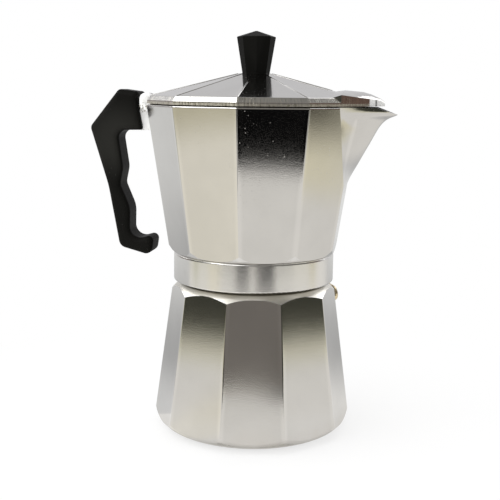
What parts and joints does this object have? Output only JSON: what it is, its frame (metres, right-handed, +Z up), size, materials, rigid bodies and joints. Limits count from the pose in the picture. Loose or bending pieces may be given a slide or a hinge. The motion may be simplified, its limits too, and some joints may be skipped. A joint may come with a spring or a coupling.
{
  "type": "stove-top coffee pot",
  "caption": "Faceted stove-top coffee pot: a jug with spout and hinged lid screws onto a tapered boiler, with funnel, sieve, seal, safety valve and black moulded handle and knob.",
  "frame": {"origin": "middle of the boiler's flat foot, on the table", "axes": "+Z up along the pot's axis, +X towards the spout, -X towards the handle"},
  "size_m": [0.1558, 0.1094, 0.2032],
  "materials": {
    "cast_aluminium": "polished cast aluminium with a fine cast texture",
    "spun_aluminium": "spun aluminium sheet, satin",
    "black_moulding": "black moulded phenolic plastic, glossy with fine scuffs",
    "brass": "turned brass, slightly dull",
    "steel": "plated steel",
    "seal_rubber": "off-white seal rubber",
    "fibre": "red sealing fibre"
  },
  "bodies": {
    "boiler": {"boiler": "cast_aluminium", "valve_washer": "fibre", "valve_body": "brass", "valve_cap": "brass", "valve_spring": "steel"},
    "valve_plunger": {"valve_plunger": "brass"},
    "funnel": {"funnel": "spun_aluminium", "funnel_screen": "spun_aluminium"},
    "jug": {"upper_chamber": "cast_aluminium", "gasket": "seal_rubber", "filter_plate": "spun_aluminium", "coffee_column": "cast_aluminium", "hinge_pin": "steel", "handle": "black_moulding", "handle_screw": "steel", "handle_washer": "steel"},
    "lid": {"lid": "cast_aluminium", "knob": "black_moulding", "knob_insert": "brass", "knob_screw": "steel", "knob_washer": "steel"}
  },
  "joints": [
    {"name": "funnel_lift", "type": "slide", "parent": "boiler", "child": "funnel", "axis": [0, 0, 1], "range_m": [0, 0.0111]},
    {"name": "chamber_unscrew", "type": "hinge", "parent": "funnel", "child": "jug", "pos_m": [0, 0, 0.09], "axis": [0, 0, 1], "range_deg": [0, 990]},
    {"name": "lid_hinge", "type": "hinge", "parent": "jug", "child": "lid", "pos_m": [-0.0555, 0, 0.169], "axis": [0, -1, 0], "range_deg": [0, 100]},
    {"name": "valve_slide", "type": "slide", "parent": "boiler", "child": "valve_plunger", "axis": [0.8782, 0.4611, 0.1273], "range_m": [0, 0.0015], "stiffness_N_per_m": 1500, "springref_m": -0.002, "deforming": ["valve_spring"]}
  ],
  "couplings": [
    {"joint": "funnel_lift", "follows": "chamber_unscrew", "m_per_rad": 0.00063662}
  ]
}
